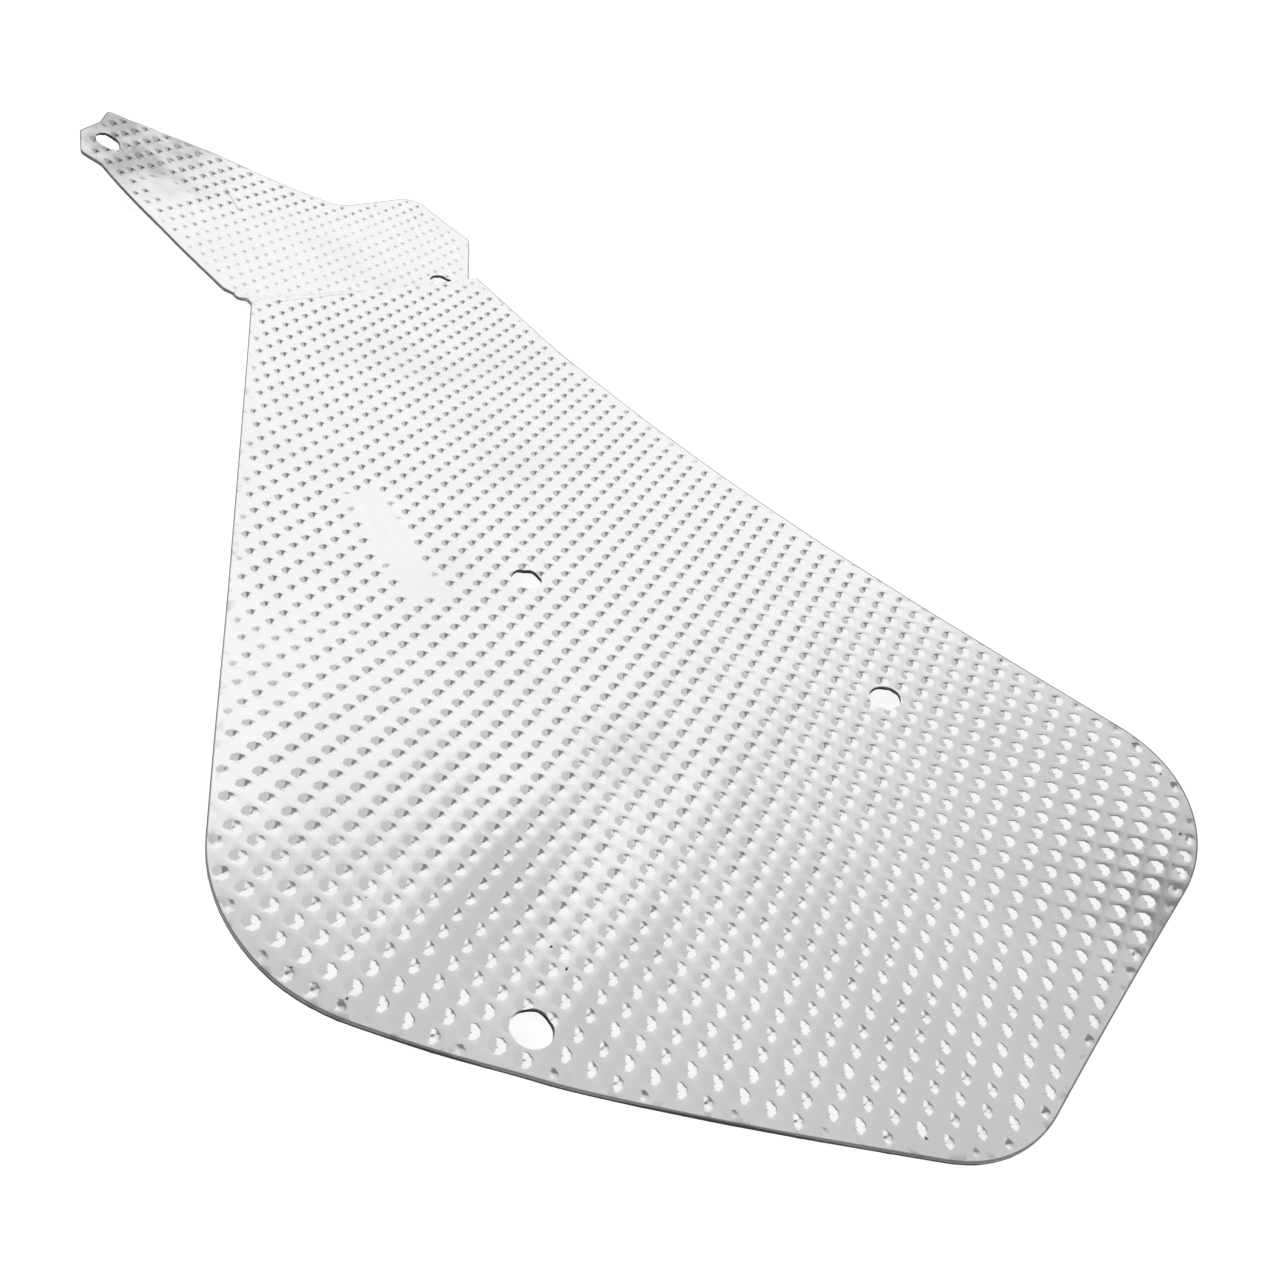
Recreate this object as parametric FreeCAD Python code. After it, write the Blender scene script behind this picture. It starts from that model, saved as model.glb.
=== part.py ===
"""Heat shield: one aluminium sheet, embossed, cut to outline, pressed into a shallow trough and pierced.

The sheet lies as it comes to rest, trough upwards. +X runs along the sheet from the blunt nose to the
tip of the tab, +Y to the side that carries the tip, +Z up. The sheet is drawn in plan round a datum near
its middle and then moved so that the origin is below the centre of its box.

The embossed upper face is faceted: each cell of the lattice is a hollow of four facets that meets its
neighbours along straight ridges. A plain rim runs along the cut edge and round every hole, and the
underside is plain. The outline and the holes are cut true through the facets.
"""
import FreeCAD
import Part
import math
import os
from typing import NamedTuple

Vector = FreeCAD.Vector


class Corner(NamedTuple):
    """A corner of the outline in plan, rounded by a tangent arc."""

    x: float
    y: float
    radius: float


class Place(NamedTuple):
    """A point in plan."""

    x: float
    y: float


class Pad(NamedTuple):
    """An oblong that is left without embossing."""

    x: float
    y: float
    half_length: float
    half_width: float
    turn: float


# Sheet
SHEET_THICKNESS = 1.0
TRIM_MARGIN = 4.0       # how far the pressed blank reaches past the outline before it is cut
EDGE_FACET = 12.0       # longest facet along the edge of the blank
ARC_FACET_ANGLE = 15.0  # turn of one facet round a corner of the blank

# Outline in plan, counter-clockwise from the nose
NOSE = Corner(-223.4, -7.0, 28.0)
RIGHT_SHOULDER = Corner(-184.7, -111.1, 38.0)
NECK_RIGHT = Corner(121.2, -57.6, 20.0)
FIN_HEEL = Corner(159.3, -75.2, 6.0)
FIN_TOE = Corner(196.3, -66.3, 7.0)
FIN_HOLLOW = Corner(186.0, -31.4, 10.0)
FIN_BACK = Corner(209.7, 6.8, 80.0)
TIP_OUTER = Corner(220.6, 45.2, 2.5)
TIP_NOTCH = Corner(213.2, 49.5, 3.0)
TIP_END = Corner(204.4, 58.2, 2.0)
TIP_INNER = Corner(193.5, 60.4, 2.0)
TIP_ROOT = Corner(189.2, 54.7, 3.0)
TAB_EDGE = Corner(157.4, 42.6, 120.0)
NECK_STEP_TAB = Corner(119.9, 32.7, 1.5)
NECK_STEP_FOOT = Corner(117.6, 30.4, 1.5)
NECK_LEFT = Corner(99.5, 30.2, 3.0)
LEFT_SHOULDER = Corner(-136.0, 112.4, 37.0)
LEFT_KINK = Corner(-174.6, 62.1, 30.0)
OUTLINE = (
    NOSE, RIGHT_SHOULDER, NECK_RIGHT, FIN_HEEL, FIN_TOE, FIN_HOLLOW, FIN_BACK, TIP_OUTER, TIP_NOTCH,
    TIP_END, TIP_INNER, TIP_ROOT, TAB_EDGE, NECK_STEP_TAB, NECK_STEP_FOOT, NECK_LEFT, LEFT_SHOULDER,
    LEFT_KINK,
)

# Fixing holes in plan
HOLE_DIAMETER = 8.2
MIDDLE_HOLE = Place(-43.5, 1.7)
RIGHT_HOLE = Place(-116.6, -63.8)
LEFT_HOLE = Place(-163.1, 62.0)
NECK_HOLE = Place(128.8, -49.8)
TIP_HOLE = Place(203.0, 49.4)
HOLES = (MIDDLE_HOLE, RIGHT_HOLE, LEFT_HOLE, NECK_HOLE, TIP_HOLE)

# Floor of the trough: a very slack bow along its length, with a little twist
BOW_RADIUS = 3850.0
BOW_LOW_X = -63.5
TWIST_PER_MM = 0.00023

# Right flank: bends up along a line, most at the nose
RIGHT_BEND_Y = -43.0
RIGHT_BEND_ARC = 74.5
RIGHT_ANGLE_NOSE = 15.6
RIGHT_ANGLE_NECK = 5.3
RIGHT_FADE_START_X = -203.0
RIGHT_FADE_END_X = 62.0

# Left flank: flat at the nose, steepest at the shoulder, slack towards the neck
LEFT_BEND_Y = 33.7
LEFT_BEND_ARC = 36.8
LEFT_ANGLE_SHOULDER = 10.9
LEFT_ANGLE_NECK = 4.1
LEFT_RISE_START_X = -235.0
LEFT_RISE_END_X = -96.0
LEFT_FADE_START_X = -91.0
LEFT_FADE_END_X = -27.0

# Neck: a slight rise, then the joggle down to the tab across a slanted line
NECK_RISE_X = 71.0
NECK_RISE_ANGLE = 2.5
NECK_RISE_ARC = 20.0
NECK_RISE_END_X = 113.0
JOGGLE_X = 105.8        # where the joggle starts, on the line y = 0
JOGGLE_SLANT = 11.0
JOGGLE_WIDTH_LEFT = 17.0    # width at the left edge of the neck
JOGGLE_WIDTH_RIGHT = 8.0    # width at the right edge of the neck
JOGGLE_LEFT_Y = 30.0
JOGGLE_RIGHT_Y = -58.0
JOGGLE_DROP = 6.7

# Tab: curls up towards its tip across a slanted line
CURL_X = 199.3
CURL_SLANT = 25.3
CURL_ANGLE = 16.9
CURL_ARC = 70.0

# Embossing: a slightly skewed lattice of pits that runs from the nose to the tab without a break
PIT_PITCH = 5.14        # from pit to pit along a row
ROW_PITCH = 4.845       # from row to row along a column
ROW_DIRECTION = 37.0
COLUMN_DIRECTION = 123.23
FIRST_PIT = Place(-186.62, -8.33)
PIT_DEPTH = 0.6
PLAIN_RIM = 2.5         # least width of the plain rim along the cut edge
HOLE_LAND = 2.3         # least width of the plain land round a hole
LONG_PAD = Pad(-23.0, 30.6, 22.0, 4.5, 0.0)
TAB_PAD = Pad(182.5, 34.2, 6.0, 5.0, 35.0)
PADS = (LONG_PAD, TAB_PAD)
JOGGLE_MARGIN = 0.8     # the plain band of the joggle reaches this far past its bends
HOLE_COLLAR = 0.7       # flat collar round a hole, inside its land
COLLAR_SIDES = 8
JOGGLE_OVERHANG = 2.5   # and this far past the cut edge before it is cut

# Sides of the facets, in half steps of the lattice
HALF_CELL = 1           # across the joggle
PIT_CELL = 2            # one pit
PLAIN_CELL = 4          # on the underside

OUTPUT = "parts"


def bend(distance: float, arc: float) -> float:
    """Height of a unit bend: flat before it, a round stretch of length arc, then a straight flank."""
    if distance <= -arc / 2:
        return 0.0
    if distance >= arc / 2:
        return distance
    return (distance + arc / 2) ** 2 / (2 * arc)


def ease(value: float, start: float, end: float) -> float:
    """Smooth step from 0 at start to 1 at end."""
    t = min(max((value - start) / (end - start), 0.0), 1.0)
    return t * t * (3 - 2 * t)


def slope(degrees: float) -> float:
    return math.tan(math.radians(degrees))


def past_line(x: float, y: float, line_x: float, slant: float) -> float:
    """Distance past a slanted line that crosses y = 0 at line_x."""
    angle = math.radians(slant)
    return (x - line_x) * math.cos(angle) + y * math.sin(angle)


def right_flank(x: float, y: float) -> float:
    fade = ease(x, RIGHT_FADE_START_X, RIGHT_FADE_END_X)
    steep = slope(RIGHT_ANGLE_NOSE) * (1 - fade) + slope(RIGHT_ANGLE_NECK) * fade
    return steep * bend(RIGHT_BEND_Y - y, RIGHT_BEND_ARC)


def left_flank(x: float, y: float) -> float:
    rise = ease(x, LEFT_RISE_START_X, LEFT_RISE_END_X)
    fade = ease(x, LEFT_FADE_START_X, LEFT_FADE_END_X)
    steep = slope(LEFT_ANGLE_SHOULDER) * rise * (1 - fade) + slope(LEFT_ANGLE_NECK) * fade
    return steep * bend(y - LEFT_BEND_Y, LEFT_BEND_ARC)


def joggle_width(y: float) -> float:
    """Width of the joggle, narrowing from the left edge of the neck to the right one."""
    share = (y - JOGGLE_RIGHT_Y) / (JOGGLE_LEFT_Y - JOGGLE_RIGHT_Y)
    share = min(max(share, 0.0), 1.0)
    return JOGGLE_WIDTH_RIGHT + (JOGGLE_WIDTH_LEFT - JOGGLE_WIDTH_RIGHT) * share


def neck_and_tab(x: float, y: float) -> float:
    joggle = past_line(x, y, JOGGLE_X, JOGGLE_SLANT)
    curl = past_line(x, y, CURL_X, CURL_SLANT)
    rise = slope(NECK_RISE_ANGLE) * bend(min(x, NECK_RISE_END_X) - NECK_RISE_X, NECK_RISE_ARC)
    drop = JOGGLE_DROP * ease(joggle, 0.0, joggle_width(y))
    return rise - drop + slope(CURL_ANGLE) * bend(curl, CURL_ARC)


def height(x: float, y: float) -> float:
    """Height of the sheet's underside above the datum at a point in plan."""
    along = x - BOW_LOW_X
    floor = along ** 2 / (2 * BOW_RADIUS) + TWIST_PER_MM * along * y
    return floor + right_flank(x, y) + left_flank(x, y) + neck_and_tab(x, y)


def surface_normal(place: Place) -> Vector:
    step = 0.5
    along = (height(place.x + step, place.y) - height(place.x - step, place.y)) / (2 * step)
    across = (height(place.x, place.y + step) - height(place.x, place.y - step)) / (2 * step)
    return Vector(-along, -across, 1).normalize()


def outline_wire(corners) -> Part.Wire:
    """Closed wire of straight edges with a tangent arc at each corner."""
    starts, ends, middles = [], [], []
    count = len(corners)
    for index, corner in enumerate(corners):
        point = Vector(corner.x, corner.y, 0)
        before = corners[index - 1]
        after = corners[(index + 1) % count]
        back = (Vector(before.x, before.y, 0) - point).normalize()
        forth = (Vector(after.x, after.y, 0) - point).normalize()
        half = back.getAngle(forth) / 2
        reach = corner.radius / math.tan(half)
        to_centre = (back + forth).normalize()
        centre = point + to_centre * (corner.radius / math.sin(half))
        starts.append(point + back * reach)
        middles.append(centre - to_centre * corner.radius)
        ends.append(point + forth * reach)
    edges = []
    for index in range(count):
        edges.append(Part.Arc(starts[index], middles[index], ends[index]).toShape())
        edges.append(Part.makeLine(ends[index], starts[(index + 1) % count]))
    return Part.Wire(edges)


def facet_count(edge: Part.Edge) -> int:
    """How many facets stand for an edge of the blank."""
    if isinstance(edge.Curve, Part.Circle):
        return 1 + int(math.degrees(edge.Length / edge.Curve.Radius) / ARC_FACET_ANGLE)
    return 1 + int(edge.Length / EDGE_FACET)


def corner_loop(wire: Part.Wire) -> list:
    """Places along a closed wire, counter-clockwise, one for each facet."""
    loop = []
    for edge in wire.OrderedEdges:
        points = edge.discretize(Number=facet_count(edge) + 1)
        loop += [Place(point.x, point.y) for point in points[:-1]]
    area = sum(a.x * b.y - a.y * b.x for a, b in zip(loop, loop[1:] + loop[:1]))
    return loop if area > 0 else loop[::-1]


class Lattice:
    """Cells of the embossing over the sheet. A cell is named by its lowest corner, in half steps."""

    def __init__(self, outline: Part.Wire) -> None:
        row = math.radians(ROW_DIRECTION)
        column = math.radians(COLUMN_DIRECTION)
        self.row = Place(PIT_PITCH * math.cos(row), PIT_PITCH * math.sin(row))
        self.column = Place(ROW_PITCH * math.cos(column), ROW_PITCH * math.sin(column))
        self.edge = corner_loop(outline)
        self.spans = self.cover(outline.BoundBox)
        self.known = {}

    def cover(self, box: FreeCAD.BoundBox) -> tuple:
        """Ranges of steps along the rows and columns that cover a box."""
        skew = self.row.x * self.column.y - self.row.y * self.column.x
        rows, columns = [], []
        for x in (box.XMin - FIRST_PIT.x, box.XMax - FIRST_PIT.x):
            for y in (box.YMin - FIRST_PIT.y, box.YMax - FIRST_PIT.y):
                rows.append((x * self.column.y - y * self.column.x) / skew)
                columns.append((self.row.x * y - self.row.y * x) / skew)
        return (
            range(2 * math.floor(min(rows)) - 4, 2 * math.ceil(max(rows)) + 4),
            range(2 * math.floor(min(columns)) - 4, 2 * math.ceil(max(columns)) + 4),
        )

    def corner(self, name: tuple) -> Place:
        """Place of a cell corner. Even names are the corners of the pits' own cells."""
        along, across = (name[0] - 1) / 2, (name[1] - 1) / 2
        return Place(
            FIRST_PIT.x + along * self.row.x + across * self.column.x,
            FIRST_PIT.y + along * self.row.y + across * self.column.y,
        )

    def inset(self, place: Place) -> float:
        """Distance of a place in from the cut edge, negative outside it."""
        nearest = math.inf
        inside = False
        for a, b in zip(self.edge, self.edge[1:] + self.edge[:1]):
            dx, dy = b.x - a.x, b.y - a.y
            t = ((place.x - a.x) * dx + (place.y - a.y) * dy) / (dx * dx + dy * dy)
            t = min(max(t, 0.0), 1.0)
            nearest = min(nearest, math.hypot(place.x - a.x - t * dx, place.y - a.y - t * dy))
            if (a.y > place.y) != (b.y > place.y) and place.x < a.x + (place.y - a.y) * dx / dy:
                inside = not inside
        return nearest if inside else -nearest

    def is_clear(self, name: tuple, rim: float) -> bool:
        """Whether a cell corner keeps off the rim, the lands of the holes and the pads."""
        if name not in self.known:
            place = self.corner(name)
            land = HOLE_DIAMETER / 2 + HOLE_LAND
            is_plain = (
                any(math.hypot(place.x - hole.x, place.y - hole.y) < land for hole in HOLES)
                or any(on_pad(place, pad) for pad in PADS)
            )
            self.known[name] = -math.inf if is_plain else self.inset(place)
        return self.known[name] >= rim

    def cells(self, size: int, rim: float, wanted) -> list:
        """Names of the cells of a size whose corners are all wanted and clear."""
        rows, columns = self.spans
        kept = set()
        for i in range(rows.start - rows.start % size, rows.stop, size):
            for j in range(columns.start - columns.start % size, columns.stop, size):
                names = cell_corners((i, j), size)
                if all(wanted(self.corner(name)) and self.is_clear(name, rim) for name in names):
                    kept.add((i, j))
        pinched = True
        while pinched:
            pinched = {cell for cell in kept if is_pinched(cell, kept, size)}
            kept -= pinched
        return sorted(kept)


def on_pad(place: Place, pad: Pad) -> bool:
    turn = math.radians(pad.turn)
    along = (place.x - pad.x) * math.cos(turn) + (place.y - pad.y) * math.sin(turn)
    across = (place.y - pad.y) * math.cos(turn) - (place.x - pad.x) * math.sin(turn)
    return abs(along) < pad.half_length and abs(across) < pad.half_width


def cell_corners(cell: tuple, size: int) -> list:
    i, j = cell
    return [(i, j), (i + size, j), (i + size, j + size), (i, j + size)]


def is_pinched(cell: tuple, kept: set, size: int) -> bool:
    """Whether a cell meets a later one at a corner only."""
    i, j = cell
    for side in (size, -size):
        if (i + size, j + side) in kept and (i + size, j) not in kept and (i, j + side) not in kept:
            return True
    return False


def border_loops(cells: list, size: int) -> list:
    """Closed loops of corner names round a set of cells."""
    sides = set()
    for cell in cells:
        names = cell_corners(cell, size)
        sides.update(zip(names, names[1:] + names[:1]))
    after = {a: b for a, b in sorted(sides) if (b, a) not in sides}
    loops = []
    while after:
        first, name = after.popitem()
        loop = [first]
        while name != first:
            loop.append(name)
            name = after.pop(name)
        loops.append(loop)
    return loops


def upper(place: Place) -> float:
    return height(place.x, place.y) + SHEET_THICKNESS


def lower(place: Place) -> float:
    return height(place.x, place.y)


class Facets:
    """Triangles that share their corners."""

    def __init__(self) -> None:
        self.points = []
        self.numbers = {}
        self.triangles = []

    def number(self, place: Place, z: float) -> int:
        key = (round(place.x, 4), round(place.y, 4), round(z, 4))
        if key not in self.numbers:
            self.numbers[key] = len(self.points)
            self.points.append(Vector(place.x, place.y, z))
        return self.numbers[key]

    def add(self, places, level, faces_up: bool) -> None:
        """Add one triangle on a face of the sheet, turned to face up or down."""
        a, b, c = places
        turns_left = (b.x - a.x) * (c.y - a.y) > (b.y - a.y) * (c.x - a.x)
        if turns_left != faces_up:
            b, c = c, b
        self.triangles.append(tuple(self.number(place, level(place)) for place in (a, b, c)))

    def add_pit(self, corners: list) -> None:
        """Add the four facets of a pit."""
        middle = Place(sum(c.x for c in corners) / 4, sum(c.y for c in corners) / 4)
        bottom = self.number(middle, upper(middle) - PIT_DEPTH)
        for a, b in zip(corners, corners[1:] + corners[:1]):
            self.triangles.append((self.number(a, upper(a)), self.number(b, upper(b)), bottom))

    def add_plain(self, blank: list, loops: list, level, faces_up: bool) -> None:
        """Add what lies between the edge of the blank and the loops round the cells."""
        wires = []
        for loop in [blank] + loops:
            points = [Vector(place.x, place.y, 0) for place in loop]
            wires.append(Part.makePolygon(points + points[:1]))
        for face in Part.makeFace(wires, "Part::FaceMakerBullseye").Faces:
            points, triangles = face.tessellate(0.01)
            places = [Place(point.x, point.y) for point in points]
            for triangle in triangles:
                self.add([places[number] for number in triangle], level, faces_up)

    def add_skirt(self, blank: list) -> None:
        """Add the upright edge of the blank."""
        for a, b in zip(blank, blank[1:] + blank[:1]):
            foot_a, foot_b = self.number(a, lower(a)), self.number(b, lower(b))
            head_a, head_b = self.number(a, upper(a)), self.number(b, upper(b))
            self.triangles.append((foot_a, foot_b, head_b))
            self.triangles.append((foot_a, head_b, head_a))

    def solid(self) -> Part.Solid:
        shape = Part.Shape()
        shape.makeShapeFromMesh((self.points, self.triangles), 0.001)
        return Part.Solid(Part.Shell(shape.Faces))


def collar(hole: Place) -> list:
    """Corners of the flat collar round a hole."""
    radius = HOLE_DIAMETER / 2 + HOLE_COLLAR
    turns = [2 * math.pi * k / COLLAR_SIDES for k in range(COLLAR_SIDES)]
    return [Place(hole.x + radius * math.cos(turn), hole.y + radius * math.sin(turn)) for turn in turns]


def joggle_reach(place: Place) -> float:
    """Distance from the joggle, 0 on it."""
    past = past_line(place.x, place.y, JOGGLE_X, JOGGLE_SLANT)
    return max(-past, past - joggle_width(place.y), 0.0)


def is_on_band(place: Place) -> bool:
    return joggle_reach(place) <= JOGGLE_MARGIN


def is_off_band(place: Place) -> bool:
    return joggle_reach(place) > 1.25 * JOGGLE_MARGIN


def embossed_blank(outline: Part.Wire) -> Part.Solid:
    """The pressed and embossed sheet before it is cut to the outline."""
    lattice = Lattice(outline)
    blank = corner_loop(outline.makeOffset2D(TRIM_MARGIN))
    pits = lattice.cells(PIT_CELL, PLAIN_RIM, is_off_band)
    band = lattice.cells(HALF_CELL, -JOGGLE_OVERHANG, is_on_band)
    plain = lattice.cells(PLAIN_CELL, PLAIN_RIM, is_off_band)
    facets = Facets()
    for level, faces_up, fields in (
        (upper, True, ((pits, PIT_CELL), (band, HALF_CELL))),
        (lower, False, ((plain, PLAIN_CELL), (band, HALF_CELL))),
    ):
        loops = []
        for cells, size in fields:
            for cell in cells:
                corners = [lattice.corner(name) for name in cell_corners(cell, size)]
                if cells is pits:
                    facets.add_pit(corners)
                else:
                    facets.add(corners[:3], level, faces_up)
                    facets.add([corners[0]] + corners[2:], level, faces_up)
            loops += [[lattice.corner(name) for name in loop] for loop in border_loops(cells, size)]
        for hole in HOLES:
            ring = collar(hole)
            for first, second in zip(ring, ring[1:] + ring[:1]):
                facets.add([hole, first, second], level, faces_up)
            loops.append(ring)
        facets.add_plain(blank, loops, level, faces_up)
    facets.add_skirt(blank)
    return facets.solid()


def blank_prism(outline: Part.Wire, low: float, high: float) -> Part.Shape:
    face = Part.Face(outline)
    face.translate(Vector(0, 0, low))
    return face.extrude(Vector(0, 0, high - low))


def punch(place: Place) -> Part.Shape:
    """Punch for one hole, square to the sheet where it stands."""
    axis = surface_normal(place)
    reach = 10 * SHEET_THICKNESS
    middle = Vector(place.x, place.y, height(place.x, place.y) + SHEET_THICKNESS / 2)
    return Part.makeCylinder(HOLE_DIAMETER / 2, 2 * reach, middle - axis * reach, axis)


def heat_shield() -> Part.Shape:
    outline = outline_wire(OUTLINE)
    sheet = embossed_blank(outline)
    margin = 10 * SHEET_THICKNESS
    blank = blank_prism(outline, sheet.BoundBox.ZMin - margin, sheet.BoundBox.ZMax + margin)
    return sheet.common(blank).cut([punch(place) for place in HOLES])


def rest_offset(shape: Part.Shape) -> Vector:
    """Move that brings the middle of the shape's foot to the origin."""
    box = shape.optimalBoundingBox(False)
    return Vector(-(box.XMin + box.XMax) / 2, -(box.YMin + box.YMax) / 2, -box.ZMin)


def main() -> None:
    os.makedirs(OUTPUT, exist_ok=True)
    sheet = heat_shield().Solids[0]
    offset = rest_offset(sheet)
    sheet.translate(offset)
    sheet.exportStep(os.path.join(OUTPUT, "heat_shield.step"))
    box = sheet.optimalBoundingBox(False)
    print(f"heat_shield {box.XLength:.2f} x {box.YLength:.2f} x {box.ZLength:.2f} mm")
    print(f"volume {sheet.Volume:.1f} mm3, area {sheet.Area:.1f} mm2, valid {sheet.isValid()}")
    print(f"{len(sheet.Faces)} faces")
    print(f"moved by {offset.x:.3f} {offset.y:.3f} {offset.z:.3f}")
    for place in HOLES:
        axis = surface_normal(place)
        top = height(place.x, place.y) + SHEET_THICKNESS
        seat = Vector(place.x, place.y, top) + offset
        print(f"hole at {seat.x:.3f} {seat.y:.3f} {seat.z:.3f}, axis {axis.x:.4f} {axis.y:.4f} {axis.z:.4f}")


main()
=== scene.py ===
"""Looks of the heat shield: one thin aluminium sheet, embossed all over, cut, pressed and pierced.

One embossed cell is modelled once and laid out over the sheet's lattice. The field is pressed to the same
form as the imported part, given its thickness, trimmed to the outline and pierced. Sizes are in millimetres
until they reach a mesh, which is in metres.
"""
import logging
import math
from collections.abc import Iterator
from contextlib import contextmanager
from dataclasses import dataclass, field
from enum import Enum

import bpy
import numpy as np
from mathutils import Matrix, Vector

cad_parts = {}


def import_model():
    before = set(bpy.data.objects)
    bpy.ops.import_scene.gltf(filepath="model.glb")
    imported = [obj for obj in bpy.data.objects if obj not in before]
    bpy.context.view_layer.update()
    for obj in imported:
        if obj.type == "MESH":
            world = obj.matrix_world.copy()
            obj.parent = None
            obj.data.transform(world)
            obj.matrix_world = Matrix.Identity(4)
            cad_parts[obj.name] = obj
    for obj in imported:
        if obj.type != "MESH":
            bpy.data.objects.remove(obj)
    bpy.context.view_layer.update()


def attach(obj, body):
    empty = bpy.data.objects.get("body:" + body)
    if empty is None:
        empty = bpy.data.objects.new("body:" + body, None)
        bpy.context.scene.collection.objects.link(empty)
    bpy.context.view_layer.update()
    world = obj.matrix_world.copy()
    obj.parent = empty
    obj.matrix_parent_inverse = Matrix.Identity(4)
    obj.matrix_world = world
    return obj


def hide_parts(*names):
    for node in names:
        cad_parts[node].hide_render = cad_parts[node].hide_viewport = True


LOG = logging.getLogger("heat_shield")
MM = 0.001
NODE = "heat_shield"
BODY = "root"
SIDES = 8
WHITE = (1.0, 1.0, 1.0, 1.0)

Colour = tuple[float, float, float, float]
Triple = tuple[float, float, float]
Span = tuple[float, float]
Array = np.ndarray
Piece = bpy.types.Object
Material = bpy.types.Material
Socket = bpy.types.NodeSocket


class Trim(Enum):
    """What a cutter does to the sheet."""

    KEEP_INSIDE = "INTERSECT"
    PIERCE = "DIFFERENCE"


@dataclass(frozen=True)
class Corner:
    """A corner of the outline in plan, rounded by a tangent arc."""

    x: float
    y: float
    radius: float


@dataclass(frozen=True)
class Place:
    """A point in plan."""

    x: float
    y: float


def clear_selection() -> None:
    """Leave edit mode and deselect everything."""
    if bpy.context.object and bpy.context.object.mode != "OBJECT":
        bpy.ops.object.mode_set(mode="OBJECT")
    bpy.ops.object.select_all(action="DESELECT")


def make_active(piece: Piece) -> None:
    """Select one object alone and make it the active one."""
    clear_selection()
    piece.select_set(True)
    bpy.context.view_layer.objects.active = piece


@contextmanager
def edit_mode() -> Iterator[None]:
    """Work on the mesh of the active object."""
    bpy.ops.object.mode_set(mode="EDIT")
    yield
    bpy.ops.object.mode_set(mode="OBJECT")


def join(pieces: list[Piece]) -> Piece:
    """Join pieces into the first one, and return it."""
    make_active(pieces[0])
    for piece in pieces[1:]:
        piece.select_set(True)
    bpy.ops.object.join()
    return pieces[0]


def apply_modifier(piece: Piece, name: str) -> None:
    """Apply one modifier of a piece by name."""
    make_active(piece)
    bpy.ops.object.modifier_apply(modifier=name)


def read_points(piece: Piece) -> Array:
    """Read the vertices of a piece.

    Args:
        piece: A mesh object.
    Returns:
        An array of shape (n, 3), in metres.
    """
    points = np.empty(len(piece.data.vertices) * 3)
    piece.data.vertices.foreach_get("co", points)
    return points.reshape(-1, 3)


def write_points(piece: Piece, points: Array) -> None:
    """Write the vertices of a piece, in metres."""
    piece.data.vertices.foreach_set("co", points.ravel())
    piece.data.update()


def ease(value: Array, start: float, end: float) -> Array:
    """Smooth step from 0 at start to 1 at end."""
    t = np.clip((value - start) / (end - start), 0.0, 1.0)
    return t * t * (3 - 2 * t)


def bend(distance: Array, arc: float) -> Array:
    """Height of a unit bend: flat, then a round stretch of length arc, then a straight flank."""
    rounded = (distance + arc / 2) ** 2 / (2 * arc)
    return np.where(distance <= -arc / 2, 0.0, np.where(distance >= arc / 2, distance, rounded))


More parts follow.
